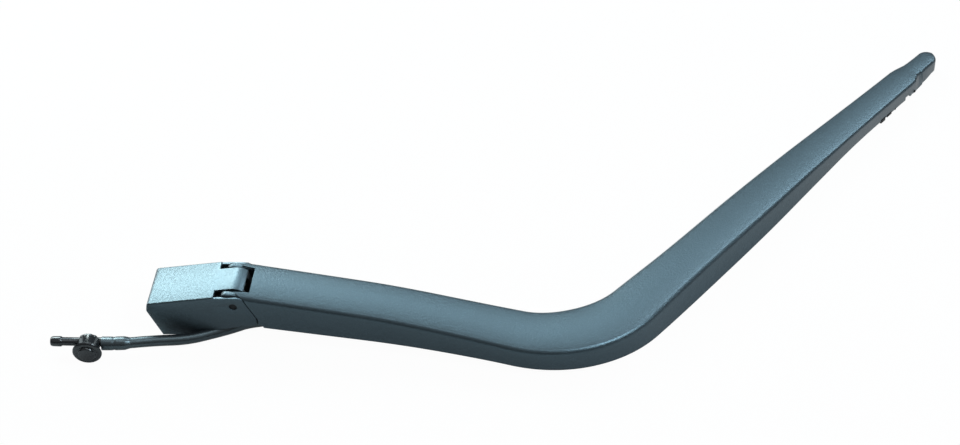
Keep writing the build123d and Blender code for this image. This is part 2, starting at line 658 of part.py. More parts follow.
def tip_insert():
    """Plastic guide in the tip that the blade's coupling slides under."""
    narrow = station(INSERT_END)[0] - SHEET - INSERT_FIT
    roof = web_underside(INSERT_END, narrow) - INSERT_FIT
    block = tip_box(INSERT_START, INSERT_END, -narrow, narrow, INSERT_LIFT, roof)
    pocket = (INSERT_START + INSERT_END_WALL, INSERT_END + FAR, -INSERT_POCKET, INSERT_POCKET)
    block -= tip_box(*pocket, -FAR, roof - INSERT_ROOF)
    half, _, _, splay = station(FOOT_START)
    wide = half + splay + FOOT_REACH
    feet = tip_box(FOOT_START, FOOT_END, -wide, wide, HINGE_OVER_WALLS - HINGE_HEIGHT, FOOT_THICK)
    return block + feet - tip_box(*pocket, -FAR, FOOT_THICK + GAP)


# Check valve on the end of the hose, its axis across the arm and its barbs along the hose
def along_x(radius, start, end):
    return Pos((start + end) / 2, 0, 0) * Rot(0, 90, 0) * Cylinder(radius, end - start)


def valve_body():
    body = cross_rod(VALVE_RADIUS, VALVE_FRONT, VALVE_BACK)
    rim = cross_rod(VALVE_RIM_RADIUS, VALVE_BACK - VALVE_RIM, VALVE_BACK)
    notch = cross_rod(VALVE_NOTCH_RADIUS, VALVE_BACK - VALVE_RIM - 1, VALVE_BACK + 1, VALVE_RIM_RADIUS)
    for index in range(VALVE_NOTCHES):
        rim -= Rot(0, (index + 0.5) * 360 / VALVE_NOTCHES, 0) * notch
    stem_end = -VALVE_CHAMBER - STEM_ROOT - STEM_LENGTH
    barb = along_x(BARB_RADIUS, stem_end - BARB_LENGTH, stem_end)
    body += rim + along_x(STEM_RADIUS, stem_end, -VALVE_CHAMBER)
    body += chamfer(barb.edges().sort_by(Axis.X)[0], BARB_TIP)
    body += along_x(OUTLET_RADIUS, VALVE_CHAMBER, TAIL_START)
    body -= cross_rod(VALVE_CHAMBER, VALVE_FRONT - 1, VALVE_BACK - VALVE_BASE)
    return body - along_x(STEM_BORE, stem_end - BARB_LENGTH - 1, TAIL_START + 1)


def valve_cap():
    face = VALVE_FRONT - VALVE_CAP_THICK
    disc = cross_rod(VALVE_CAP_RADIUS, face, VALVE_FRONT)
    disc = fillet(disc.edges().filter_by(GeomType.CIRCLE), VALVE_CAP_EDGE)
    disc -= cross_rod(VALVE_DISH_RADIUS, face - 1, face + VALVE_DISH)
    return disc + cross_rod(VALVE_CHAMBER - STATIC, VALVE_FRONT, VALVE_FRONT + VALVE_PLUG)


def valve_diaphragm():
    seat = VALVE_FRONT + VALVE_PLUG
    return cross_rod(VALVE_CHAMBER - GAP, seat, seat + DIAPHRAGM)


def valve_spring():
    low = VALVE_FRONT + VALVE_PLUG + DIAPHRAGM + VALVE_SPRING_WIRE
    height = VALVE_BACK - VALVE_BASE - VALVE_SPRING_WIRE - low
    path = Helix(height / VALVE_SPRING_TURNS, height, VALVE_SPRING_RADIUS, (0, low, 0), (0, 1, 0))
    return sweep(Plane(path @ 0, z_dir=path % 0) * Circle(VALVE_SPRING_WIRE), path=path, is_frenet=True)


os.makedirs("parts", exist_ok=True)
save("mounting_head", HEAD_AT * mounting_head())
save("bush_near", HEAD_AT * bush(-1))
save("bush_far", HEAD_AT * bush(1))
save("hook_pin", ARM_AT * cross_rod(HOOK_PIN_RADIUS, -EYE_OUTER, EYE_OUTER, HOOK_X, HOOK_Z))
save("cover_cap", HEAD_AT * cover_cap())
save("arm_channel", ARM_AT * arm_channel())
save("hinge_pin", ARM_AT * hinge_pin())
save("spring_hook", HOOK_AT * spring_hook())
save("tension_spring", HOOK_AT * tension_spring())
save("spring_anchor", ARM_AT * spring_anchor())
save("hose_tail", ARM_AT * hose(TAIL_POINTS))
save("hose_run", ARM_AT * hose([HOSE_JOIN, *RUN_POINTS]))
for number, run_index in enumerate(CLIP_RUNS, start=1):
    save(f"hose_clip_{number}", ARM_AT * hose_clip(run_index))
save("hose_nipple", ARM_AT * hose_nipple())
save("tip_insert", ARM_AT * tip_insert())
save("valve_body", ARM_AT * VALVE_AT * valve_body())
save("valve_cap", ARM_AT * VALVE_AT * valve_cap())
save("valve_diaphragm", ARM_AT * VALVE_AT * valve_diaphragm())
save("valve_spring", ARM_AT * VALVE_AT * valve_spring())
print("hinge", round(HINGE_X, 3), round(HINGE_Z, 3), "table", round(HINGE_Z - HINGE_HEIGHT, 3))
print("hook pin", round(HINGE_X + HOOK_X, 3), round(HINGE_Z + HOOK_Z, 3))
print("hook ratio", round((RAISED_ANGLE - PULL_ANGLE) / LIFT, 4), "pull", round(PULL_LENGTH, 2))
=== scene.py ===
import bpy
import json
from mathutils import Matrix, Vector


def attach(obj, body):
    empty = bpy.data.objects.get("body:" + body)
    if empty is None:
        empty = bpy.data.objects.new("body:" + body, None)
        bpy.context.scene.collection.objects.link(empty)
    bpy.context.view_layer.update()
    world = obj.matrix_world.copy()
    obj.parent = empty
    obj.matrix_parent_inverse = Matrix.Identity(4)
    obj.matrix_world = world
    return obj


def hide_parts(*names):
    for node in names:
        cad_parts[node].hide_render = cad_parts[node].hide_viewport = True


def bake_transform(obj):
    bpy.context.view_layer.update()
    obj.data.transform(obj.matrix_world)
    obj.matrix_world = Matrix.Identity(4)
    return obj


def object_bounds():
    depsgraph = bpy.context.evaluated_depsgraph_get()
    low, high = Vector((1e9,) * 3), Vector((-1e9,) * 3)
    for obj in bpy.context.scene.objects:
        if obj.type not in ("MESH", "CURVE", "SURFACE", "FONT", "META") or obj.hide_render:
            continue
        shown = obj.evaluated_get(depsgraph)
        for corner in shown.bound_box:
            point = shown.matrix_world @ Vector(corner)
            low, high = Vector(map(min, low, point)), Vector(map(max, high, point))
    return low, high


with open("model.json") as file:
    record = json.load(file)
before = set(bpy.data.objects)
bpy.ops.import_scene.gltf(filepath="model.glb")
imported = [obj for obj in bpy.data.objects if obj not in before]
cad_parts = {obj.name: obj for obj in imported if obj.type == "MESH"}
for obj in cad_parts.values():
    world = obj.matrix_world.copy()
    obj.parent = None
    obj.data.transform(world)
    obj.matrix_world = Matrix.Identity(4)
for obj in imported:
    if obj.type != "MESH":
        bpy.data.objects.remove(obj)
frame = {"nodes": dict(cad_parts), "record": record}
cad_box = [list(corner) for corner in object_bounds()]

import json
from math import cos, pi, radians, sin, sqrt

import bmesh
import bpy
from mathutils import Matrix, Quaternion, Vector

MM = 0.001


# Studio: a white table top that runs on out of sight, cool softboxes behind and above the arm,
# and a long-lens camera that looks down at 45 degrees from the front.
TABLE_SIZE = 6.0
table_z = cad_box[0][2]
# how much of the table shows as plain white: to the camera, and in mirrored light left and right of an edge in X; the
# mirrored white right of that edge is a painted reflection that lightens the right-hand walls
WHITE_SEEN, WHITE_MIRRORED, PAINTED_REFLECTION_SHARE, PAINTED_REFLECTION_EDGE = 0.97, 0.06, 0.88, (0.34, 0.46)
# strength of the room in mirrored light at the horizon and what the dome adds, and for all other light
ROOM_LOW, ROOM_ADDED, ROOM_REST = 0.05, 0.38, 0.35
# name, place, aim, width, height, watts, colour, roll
SOFTBOXES = (
    ("softbox_head", (-0.62, 0.80, 0.68), (0.0, 0.0, 0.02), 0.95, 0.45, 19.5, (0.84, 1.0, 1.0), 0.0),
    ("softbox_back", (-0.30, 1.20, 1.36), (0.1, 0.05, 0.0), 1.1, 0.75, 13.5, (0.66, 0.89, 1.0), -6.0),
    ("softbox_side", (0.80, 1.20, 1.38), (0.4, 0.1, 0.0), 1.1, 0.75, 6.2, (0.66, 0.89, 1.0), -6.0),
    ("softbox_top", (0.1, -0.1, 1.7), (0.2, 0.1, 0.0), 1.0, 0.5, 4.5, (0.80, 0.93, 1.0), 0.0),
    ("softbox_right", (1.15, -0.25, 1.25), (0.55, 0.1, 0.0), 0.6, 0.6, 20.0, (0.72, 0.90, 1.0), 0.0),
    ("softbox_corner", (1.05, 1.0, 1.2), (0.42, 0.25, 0.0), 0.45, 0.6, 7.0, (0.76, 0.90, 1.0), 0.0),
    ("softbox_low", (-1.05, 0.75, 0.16), (-0.06, -0.03, 0.0), 0.45, 0.22, 2.4, (1.0, 1.0, 1.0), 0.0),
)
CAMERA_PLACE, CAMERA_TILT, CAMERA_YAW, FOCAL_LENGTH = (0.28259, -0.92662, 1.02900), 45.0, 6.2, 82.5


class Signal:
    """One socket of a node tree; sums and products on it add Math nodes."""

    def __init__(self, owner, socket):
        self.owner = owner
        self.socket = socket

    def maths(self, operation, *terms):
        return self.owner.add("ShaderNodeMath", {"operation": operation}, dict(enumerate(terms)))

    def __add__(self, other):
        return self.maths("ADD", self, other)

    def __sub__(self, other):
        return self.maths("SUBTRACT", self, other)

    def __rsub__(self, other):
        return self.maths("SUBTRACT", other, self)

    def __mul__(self, other):
        return self.maths("MULTIPLY", self, other)

    def __truediv__(self, other):
        return self.maths("DIVIDE", self, other)

    def __rtruediv__(self, other):
        return self.maths("DIVIDE", other, self)

    __radd__ = __add__
    __rmul__ = __mul__

    def at_most(self, other):
        return self.maths("MINIMUM", self, other)

    def at_least(self, other):
        return self.maths("MAXIMUM", self, other)

    def absolute(self):
        return self.maths("ABSOLUTE", self)

    def sine(self):
        return self.maths("SINE", self)

    def cosine(self):
        return self.maths("COSINE", self)

    def step(self, low, high):
        """Smooth step from 0 at low to 1 at high."""
        return self.owner.add("ShaderNodeMapRange", {"interpolation_type": "SMOOTHSTEP"}, {0: self, 1: low, 2: high})


class Nodes:
    """A node tree that is built node by node."""

    def __init__(self, tree):
        self.tree = tree
        tree.nodes.clear()

    def add(self, kind, settings=None, sockets=None, output=0):
        """Add a node: its settings first, then the values or links of its sockets."""
        node = self.tree.nodes.new(kind)
        for key, value in (settings or {}).items():
            setattr(node, key, value)
        for key, value in (sockets or {}).items():
            if isinstance(value, Signal):
                self.tree.links.new(value.socket, node.inputs[key])
            else:
                node.inputs[key].default_value = value
        return Signal(self, node.outputs[output]) if node.outputs else None


class Finish(Nodes):
    """A material, or the world, with its shader."""

    def __init__(self, name, world=None):
        self.material = world or bpy.data.materials.new(name)
        self.material.use_nodes = True
        super().__init__(self.material.node_tree)

    def noise(self, scale, detail=2.0, roughness=0.5):
        place = self.add("ShaderNodeTexCoord", output="Object")
        sockets = {"Vector": place, "Scale": scale, "Detail": detail, "Roughness": roughness}
        return self.add("ShaderNodeTexNoise", {}, sockets)

    def tint(self, factor, low, high):
        """Colour between two others."""
        return self.add("ShaderNodeMix", {"data_type": "RGBA"}, {0: factor, 6: (*low, 1.0), 7: (*high, 1.0)}, 2)

    def bump(self, height, depth, strength=1.0):
        return self.add("ShaderNodeBump", {}, {"Height": height, "Distance": depth, "Strength": strength})

    def surface(self, **sockets):
        names = {key.replace("_", " "): value for key, value in sockets.items()}
        shader = self.add("ShaderNodeBsdfPrincipled", {}, names)
        self.add("ShaderNodeOutputMaterial", {}, {"Surface": shader})
        return self.material

    def seen(self):
        """Masks of the rays that see the background straight or through glass, and of mirrored ones."""
        straight, through, mirrored = (
            self.add("ShaderNodeLightPath", output=f"Is {kind} Ray") for kind in ("Camera", "Transmission", "Glossy")
        )
        return (straight + through).at_most(1.0), mirrored


def table_top():
    finish = Finish("table_white")
    lit = finish.add("ShaderNodeBsdfDiffuse", {}, {"Color": (0.42, 0.42, 0.42, 1.0)})
    white = finish.add("ShaderNodeEmission", {}, {"Color": (1.0, 1.0, 1.0, 1.0), "Strength": 1.0})
    straight, mirrored = finish.seen()
    place = finish.add("ShaderNodeTexCoord", output="Object")
    # right of the edge in X, mirrored light sees plain white: a painted reflection for the right-hand walls
    right = finish.add("ShaderNodeSeparateXYZ", {}, {0: place}, "X").step(*PAINTED_REFLECTION_EDGE)
    share = straight * WHITE_SEEN + mirrored * (right * PAINTED_REFLECTION_SHARE + WHITE_MIRRORED)
    mixed = finish.add("ShaderNodeMixShader", {}, {0: share, 1: lit, 2: white})
    finish.add("ShaderNodeOutputMaterial", {}, {"Surface": mixed})
    mesh = bpy.data.meshes.new("table_top")
    half = TABLE_SIZE / 2
    corners = [(-half, -half, table_z), (half, -half, table_z), (half, half, table_z), (-half, half, table_z)]
    mesh.from_pydata(corners, [], [(0, 1, 2, 3)])
    mesh.materials.append(finish.material)
    table = bpy.data.objects.new("table_top", mesh)
    bpy.context.collection.objects.link(table)


def soft_room():
    """White to the eye; in mirrored light the room is darker towards the horizon."""
    world = bpy.data.worlds.new("soft_room")
    bpy.context.scene.world = world
    room = Finish("soft_room", world)
    straight, mirrored = room.seen()
    direction = room.add("ShaderNodeTexCoord", output="Generated")
    rise = room.add("ShaderNodeSeparateXYZ", {}, {0: direction}, "Z")
    dome = rise.step(0.1, 0.9) * ROOM_ADDED + ROOM_LOW
    rest = 1.0 - (straight + mirrored).at_most(1.0)
    strength = straight + mirrored * dome + rest * ROOM_REST
    glow = room.add("ShaderNodeBackground", {}, {"Color": (1.0, 1.0, 1.0, 1.0), "Strength": strength})
    room.add("ShaderNodeOutputWorld", {}, {"Surface": glow})


def softbox(name, place, aim, width, height, watts, colour, roll):
    lamp = bpy.data.lights.new(name, "AREA")
    lamp.shape = "RECTANGLE"
    lamp.size, lamp.size_y, lamp.energy, lamp.color = width, height, watts, colour
    box = bpy.data.objects.new(name, lamp)
    box.location = place
    facing = (Vector(aim) - Vector(place)).to_track_quat("-Z", "Y")
    box.rotation_euler = (facing @ Quaternion((0.0, 0.0, 1.0), radians(roll))).to_euler()
    bpy.context.collection.objects.link(box)


table_top()
soft_room()
for row in SOFTBOXES:
    softbox(*row)

bpy.context.scene.view_settings.view_transform = "Standard"
lens = bpy.data.cameras.new("photo_camera")
lens.sensor_width = 36.0
lens.lens = FOCAL_LENGTH
camera = bpy.data.objects.new("photo_camera", lens)
camera.location = CAMERA_PLACE
camera.rotation_euler = (radians(CAMERA_TILT), 0.0, radians(CAMERA_YAW))
bpy.context.collection.objects.link(camera)
bpy.context.scene.camera = camera


# Mounting head: a die-cast fork that a nut draws onto the spindle, hidden under the cap.
# Its two eyes hold nylon bushes. The hinge pin is near-black and dull, painted shade for the dark dimple where its end
# shows in the cheek; the hook pin and the spring hook are zinc plated.
def cast_metal():
    finish = Finish("black_casting")
    grain = finish.noise(900.0, 4.0, 0.6)
    patches = finish.noise(90.0, 2.0)
    colour = finish.tint(patches, (0.010, 0.011, 0.012), (0.024, 0.025, 0.027))
    return finish.surface(Base_Color=colour, Roughness=grain * 0.2 + 0.45, Normal=finish.bump(grain, 0.00012, 0.7))


def bright_steel():
    finish = Finish("zinc_steel")
    cloud = finish.noise(140.0, 3.0)
    scratch = finish.noise(1600.0, 2.0, 0.7)
    colour = finish.tint(cloud, (0.42, 0.42, 0.43), (0.60, 0.60, 0.61))
    return finish.surface(Base_Color=colour, Roughness=scratch * 0.25 + 0.22, Metallic=1.0,
                          Normal=finish.bump(scratch, 0.00003, 0.5))


def pale_nylon():
    finish = Finish("pale_nylon")
    cloud = finish.noise(300.0, 3.0)
    colour = finish.tint(cloud, (0.60, 0.58, 0.52), (0.72, 0.70, 0.65))
    return finish.surface(Base_Color=colour, Roughness=cloud * 0.2 + 0.4, Normal=finish.bump(cloud, 0.00005, 0.5))


# Near-black with a weak sheen: painted shade for the dark dimple where the pin's end shows in the cheek.
def black_oxide():
    finish = Finish("black_oxide")
    cloud = finish.noise(200.0, 2.0)
    colour = finish.tint(cloud, (0.003, 0.003, 0.004), (0.007, 0.007, 0.008))
    return finish.surface(Base_Color=colour, Roughness=cloud * 0.1 + 0.5, Specular_IOR_Level=0.25)


def dress(node, material):
    """Give a CAD node that stays in view its finish."""
    slots = frame["nodes"][node].data.materials
    slots.clear()
    slots.append(material)


casting, steel, nylon = cast_metal(), bright_steel(), pale_nylon()
dress("mounting_head", casting)
dress("hinge_pin", black_oxide())
for node in ("bush_near", "bush_far"):
    dress(node, nylon)
for node in ("hook_pin", "spring_hook"):
    dress(node, steel)


# Arm channel: one steel pressing, drawn straight with a crowned web and splayed walls and bent like a hockey stick.
# It narrows to a necked nose for the blade, and is black with a fine-textured powder coat.
hinge = Vector(next(j for j in frame["record"]["behaviour"]["joints"] if j["name"] == "arm_hinge")["pos_m"])
HINGE_OVER_WALLS = 27.06
STRAIGHT, SWAY_LENGTH, SWAY_ANGLE = 80.0, 98.0, 8.0
BEND_RADIUS, BEND_ANGLE = 75.0, 62.7
NOSE_END, NOSE_RADIUS = 596.6, 6.6
SHEET, CROWN = 1.7, 1.4
# half width at which the web has its full crown
CROWN_HALF = 16.0
# distance from hinge, half width, height of web edge, height of wall foot, splay of wall, drift of the centre line
STATIONS = (
    (0.0, 16.0, 36.0, 12.6, 1.2, 0.0), (80.0, 16.0, 27.8, 7.3, 1.0, 0.0), (140.0, 16.3, 21.9, 5.1, 0.7, -1.0),
    (178.0, 17.1, 19.0, 3.8, 0.4, -0.8), (219.0, 18.2, 17.9, 2.0, 0.9, 0.2), (260.0, 16.8, 17.4, 0.4, 2.9, 0.4),
    (310.0, 14.8, 16.6, 0.0, 4.3, 0.4), (380.0, 13.8, 14.2, 0.0, 4.2, 1.1), (440.0, 12.4, 12.2, 0.0, 2.6, 1.3),
    (490.0, 11.0, 10.9, 0.0, 0.8, 0.5), (540.0, 9.9, 10.2, 0.0, 0.6, -0.8), (570.0, 9.6, 9.8, 0.0, 0.6, -1.45),
    (600.0, 6.7, 9.2, 0.0, 0.3, -1.9),
)
# radius between web and wall near the hinge and at the tip, and the distances between which it shrinks
CORNER_WIDE, CORNER_CRISP, CORNER_SPAN = 3.0, 1.6, (220.0, 480.0)
# necked tip, near side and far side: distance, half width and splay
TIP_NEAR = (
    (545.0, 9.8, 0.6), (558.0, 9.7, 0.6), (563.8, 9.3, 0.7), (564.8, 8.9, 1.0), (570.2, 6.5, 3.0), (573.6, 6.6, 2.6),
    (574.0, 5.9, 2.9), (574.4, 5.9, 2.9), (574.8, 6.9, 1.7), (580.0, 6.8, 1.5), (588.0, 6.8, 0.5), (600.0, 6.8, 0.4),
)
TIP_FAR = (
    (545.0, 9.8, 0.6), (559.0, 9.6, 0.5), (564.0, 8.9, 0.4), (568.0, 8.0, 0.4), (571.5, 7.2, 0.4), (576.0, 6.8, 0.4),
    (584.0, 6.6, 0.4), (600.0, 6.5, 0.4),
)
FOOT_GAPS = ((521.2, 527.0, 1.6), (528.3, 534.6, 1.4), (551.3, 557.0, 2.4), (559.2, 560.4, 0.8))
NOTCH_HALF, WEB_START, FRONT_END = 10.6, 10.0, 30.0
EAR_RADIUS, EAR_OUTER = 9.0, 14.0
# rounded top of an ear: its radius, and its centre behind and above the hinge
EAR_ROUND, EAR_ROUND_BACK, EAR_ROUND_UP = 3.6, 4.6, 5.0
# where an ear runs into the wall: its end, lower edge, and the start and offset of the step
EAR_END, EAR_FOOT, STEP_START, STEP_OUTER = 20.0, -10.6, 15.2, 15.1
# front edge of the walls: rise from the hinge and distance from it
FRONT_RADIUS = 9.4
FRONT_LINE = ((6.65, 6.9), (-8.86, 15.2), (-13.4, 15.6), (-14.0, 17.9), (-15.3, 18.6), (-30.0, 18.6))
WALL_POINTS, CORNER_POINTS, WEB_POINTS = 14, 7, 10


class Former(Nodes):
    """A geometry tree with named inputs, run once over the mesh of a piece."""

    def __init__(self, name, *inputs):
        super().__init__(bpy.data.node_groups.new(name, "GeometryNodeTree"))
        sides = self.tree.interface
        sides.new_socket("Geometry", in_out="OUTPUT", socket_type="NodeSocketGeometry")
        sides.new_socket("Geometry", in_out="INPUT", socket_type="NodeSocketGeometry")
        sides.new_socket("Material", in_out="INPUT", socket_type="NodeSocketMaterial")
        for label in inputs:
            sides.new_socket(label, in_out="INPUT", socket_type="NodeSocketFloat")

    def given(self, label):
        return self.add("NodeGroupInput", output=label)

    def deliver(self, geometry):
        whole = self.add("GeometryNodeRealizeInstances", {}, {"Geometry": geometry})
        dressed = self.add("GeometryNodeSetMaterial", {}, {"Geometry": whole, "Material": self.given("Material")})
        self.add("NodeGroupOutput", {}, {"Geometry": dressed})
        return self

    def shape(self, piece, values):
        """Run the tree and keep what it makes as the piece's plain mesh."""
        run = piece.modifiers.new(self.tree.name, "NODES")
        run.node_group = self.tree
        for item in self.tree.interface.items_tree:
            if item.in_out == "INPUT" and item.name in values:
                run[item.identifier] = values[item.name]
        keep(piece, run)


def keep(piece, *modifiers):
    """Turn what the modifiers make into the piece's own mesh."""
    view = bpy.context.evaluated_depsgraph_get()
    data = bpy.data.meshes.new_from_object(piece.evaluated_get(view))
    for modifier in modifiers:
        piece.modifiers.remove(modifier)
    piece.data = data
    data.name = piece.name


def arm_bender():
    """Bends a straight pressing: a straight run, a slight sway, a tight bend the other way and a straight run."""
    form = Former("bend_along_arm", "Straight", "Sway length", "Sway angle", "Bend radius", "Bend angle")
    place = form.add("GeometryNodeInputPosition")
    distance, offset, height = (form.add("ShaderNodeSeparateXYZ", {}, {0: place}, axis) for axis in "XYZ")
    straight, sway, lean = form.given("Straight"), form.given("Sway length"), form.given("Sway angle")
    radius = form.given("Bend radius")
    bend = radius * form.given("Bend angle")
    run_1 = distance.at_most(straight)
    run_2 = (distance - straight).at_least(0.0).at_most(sway)
    run_3 = (distance - straight - sway).at_least(0.0).at_most(bend)
    run_4 = (distance - straight - sway - bend).at_least(0.0)
    leant = run_2 * lean / sway
    turned_by = run_3 / radius
    chord_2 = 2.0 * sway / lean * (leant * 0.5).sine()
    chord_3 = 2.0 * radius * (turned_by * 0.5).sine()
    middle = turned_by * 0.5 - leant
    heading = turned_by - leant
    x = run_1 + chord_2 * (leant * 0.5).cosine() + chord_3 * middle.cosine() + run_4 * heading.cosine()
    y = chord_3 * middle.sine() + run_4 * heading.sine() - chord_2 * (leant * 0.5).sine()
    sockets = {0: x - offset * heading.sine(), 1: y + offset * heading.cosine(), 2: height}
    bent = form.add("ShaderNodeCombineXYZ", {}, sockets)
    moved = form.add("GeometryNodeSetPosition", {}, {"Geometry": form.given("Geometry"), "Position": bent})
    return form.deliver(moved)


def along_arm(piece, material):
    """Bend a piece drawn straight from the hinge, and set it at the hinge."""
    bender.shape(piece, {
        "Straight": STRAIGHT * MM, "Sway length": SWAY_LENGTH * MM, "Sway angle": radians(SWAY_ANGLE),
        "Bend radius": BEND_RADIUS * MM, "Bend angle": radians(BEND_ANGLE), "Material": material,
    })
    piece.data.transform(Matrix.Translation(hinge))


def station(distance):
    """Half width, web height, foot height, splay and drift, as smooth curves through the stations."""
    last = len(STATIONS) - 2
    index = min(last, max(i for i, row in enumerate(STATIONS) if row[0] <= max(distance, 0.0)))
    here, there = STATIONS[index], STATIONS[index + 1]
    before, after = STATIONS[max(index - 1, 0)], STATIONS[min(index + 2, last + 1)]
    span = there[0] - here[0]
    t = (distance - here[0]) / span
    values = []
    for column in range(1, len(here)):
        slope_in = (there[column] - before[column]) / (there[0] - before[0]) * span
        slope_out = (after[column] - here[column]) / (after[0] - here[0]) * span
        rise = there[column] - here[column]
        cubic = slope_in * t + (3 * rise - 2 * slope_in - slope_out) * t ** 2
        values.append(here[column] + cubic + (slope_in + slope_out - 2 * rise) * t ** 3)
    return values


def foot_height(distance, foot):
    gaps = [height for start, end, height in FOOT_GAPS if start <= distance <= end]
    return max([0.0, foot, *gaps])


def side_station(distance, side):
    """Station of the near side (-1) or the far side (1), which differ at the neck."""
    half, web, foot, splay, _ = station(distance)
    rows = TIP_NEAR if side < 0 else TIP_FAR
    for (start, half_a, splay_a), (end, half_b, splay_b) in zip(rows, rows[1:]):
        if start <= distance <= end:
            t = (distance - start) / (end - start)
            half, splay = half_a + (half_b - half_a) * t, splay_a + (splay_b - splay_a) * t
    cut = foot_height(distance, foot)
    return half, web, cut, splay * (web - cut) / (web - foot)


def bezier(a, b, c, d, t):
    s = 1 - t
    return tuple(s ** 3 * p + 3 * s * s * t * q + 3 * s * t * t * r + t ** 3 * e for p, q, r, e in zip(a, b, c, d))


def half_section(half, web, foot, splay, inset, corner):
    """Half of the section from the web's middle to the wall's foot: offset and rise from the hinge."""
    crown = CROWN * half / CROWN_HALF
    narrow = max(half - inset, 0.02)
    top, low = web - inset - HINGE_OVER_WALLS, foot - HINGE_OVER_WALLS
    radius = min(max(corner - inset, 0.4), narrow * 0.8)
    lean = splay / max(web - foot, 1.0)
    flat_end = narrow - radius
    bow = crown * min(narrow / 4, 1)
    # two columns close together make the sides of the web's notch
    split = min(NOTCH_HALF, flat_end * 0.8)
    web_row = [split * i / (WEB_POINTS - 3) for i in range(WEB_POINTS - 2)]
    web_row += [split + 0.02 * min(narrow, 1.0), (split + flat_end) / 2, flat_end]
    points = [(n, top + bow * (1 - (n / narrow) ** 2)) for n in web_row]
    slope = -2 * bow * flat_end / narrow ** 2
    start, end = points[-1], (narrow + lean * radius, top - radius)
    pull = 0.55 * radius
    first = (start[0] + pull, start[1] + slope * pull)
    second = (end[0] - lean * pull, end[1] + pull)
    for i in range(1, CORNER_POINTS + 1):
        points.append(bezier(start, first, second, end, i / CORNER_POINTS))
    for i in range(1, WALL_POINTS + 1):
        t = 1 - (1 - i / WALL_POINTS) ** 1.6
        height = end[1] + (low - end[1]) * t
        points.append((narrow + lean * (top - height), height))
    return points


def corner_radius(distance):
    """The edge between web and wall gets crisper towards the tip."""
    start, end = CORNER_SPAN
    t = min(max((distance - start) / (end - start), 0.0), 1.0)
    return CORNER_WIDE - (CORNER_WIDE - CORNER_CRISP) * t


def section(distance, inset, side=1):
    return half_section(*side_station(distance, side), inset, corner_radius(distance))


def front_start(index, inset):
    """Distance at which one line of the section starts: at the notch, or close to the cap's cheek."""
    start = WEB_START
    for _ in range(8):
        offset, rise = section(start, inset)[index]
        if offset <= NOTCH_HALF + 0.001 and rise > 4.0:
            return WEB_START
        start = sqrt(max(FRONT_RADIUS ** 2 - rise ** 2, 0.0)) if rise > 0 else 0.0
        for (high, x_high), (low, x_low) in zip(FRONT_LINE, FRONT_LINE[1:]):
            if low <= rise <= high:
                start = max(start, x_high + (x_low - x_high) * (high - rise) / (high - low))
    return start


def channel_rows():
    """Distances of the sections, closer in the bend, at the gaps in the feet and round the neck."""
    rows = [FRONT_END + 5.0 * i for i in range(30)]
    rows += [180.0 + 2.0 * i for i in range(42)]
    rows += [264.0 + 8.0 * i for i in range(32)]
    rows += [520.0, 524.0, 531.0, 538.0, 545.0, 549.0, 554.0, 558.0]
    rows += [561.0, *(563.0 + 0.4 * i for i in range(36)), 580.0, 584.0, 588.0]
    for start, end, _ in FOOT_GAPS:
        rows += [start - 0.01, start, end, end + 0.01]
    return sorted(rows)


def channel_surface(inset, side):
    """Rows of points over the outer face, or the inner one, of one side of the pressing."""
    rows = []
    starts = [front_start(index, inset) for index in range(len(section(FRONT_END, inset)))]
    for t in (0.0, 0.02, 0.06, 0.15, 0.3, 0.5, 0.75):
        row = []
        for index, start in enumerate(starts):
            along = start + (FRONT_END - start) * t
            row.append((along, *section(along, inset)[index]))
        rows.append(row)
    for distance in channel_rows():
        rows.append([(distance, n, z) for n, z in section(distance, inset, side)])
    # nose, rounded in plan
    centre = NOSE_END - NOSE_RADIUS
    half, _, _, splay = side_station(centre, side)
    steps = 12
    for i in range(steps + 1):
        angle = pi / 2 * i / steps
        width = (half - inset) * cos(angle) + inset
        along = centre + (NOSE_RADIUS - inset) * sin(angle)
        points = half_section(width, station(along)[1], 0.0, splay * cos(angle), inset, corner_radius(along))
        rows.append([(along, n, z) for n, z in points])
    return [[(along, side * n + station(along)[-1], z) for along, n, z in row] for row in rows]


def channel_mesh():
    mesh = bmesh.new()
    grids = []
    for inset in (0.0, SHEET):
        grid = []
        for far_row, near_row in zip(channel_surface(inset, 1), channel_surface(inset, -1)):
            points = far_row[::-1] + near_row[1:]
            grid.append([mesh.verts.new(Vector(point) * MM) for point in points])
        grids.append(grid)
    outer, inner = grids

    def quads(one, two):
        for i in range(len(one) - 1):
            mesh.faces.new((one[i], one[i + 1], two[i + 1], two[i]))

    for grid in grids:
        for one, two in zip(grid, grid[1:]):
            quads(one, two)
    quads(outer[0], inner[0])
    for column in (0, -1):
        quads([row[column] for row in outer], [row[column] for row in inner])
    bmesh.ops.remove_doubles(mesh, verts=mesh.verts, dist=0.000004)
    bmesh.ops.recalc_face_normals(mesh, faces=mesh.faces)
    return mesh


def prism(mesh, outline, near, far):
    """Close an outline given in X and Z between two offsets across."""
    low, high = ([mesh.verts.new(Vector((x, side, z)) * MM) for x, z in outline] for side in (near, far))
    mesh.faces.new(low)
    mesh.faces.new(high[::-1])
    for i in range(len(outline)):
        mesh.faces.new((low[i - 1], high[i - 1], high[i], low[i]))


def arc(radius, start, end, count):
    turns = [radians(start + (end - start) * i / count) for i in range(count + 1)]
    return [(radius * cos(turn), radius * sin(turn)) for turn in turns]


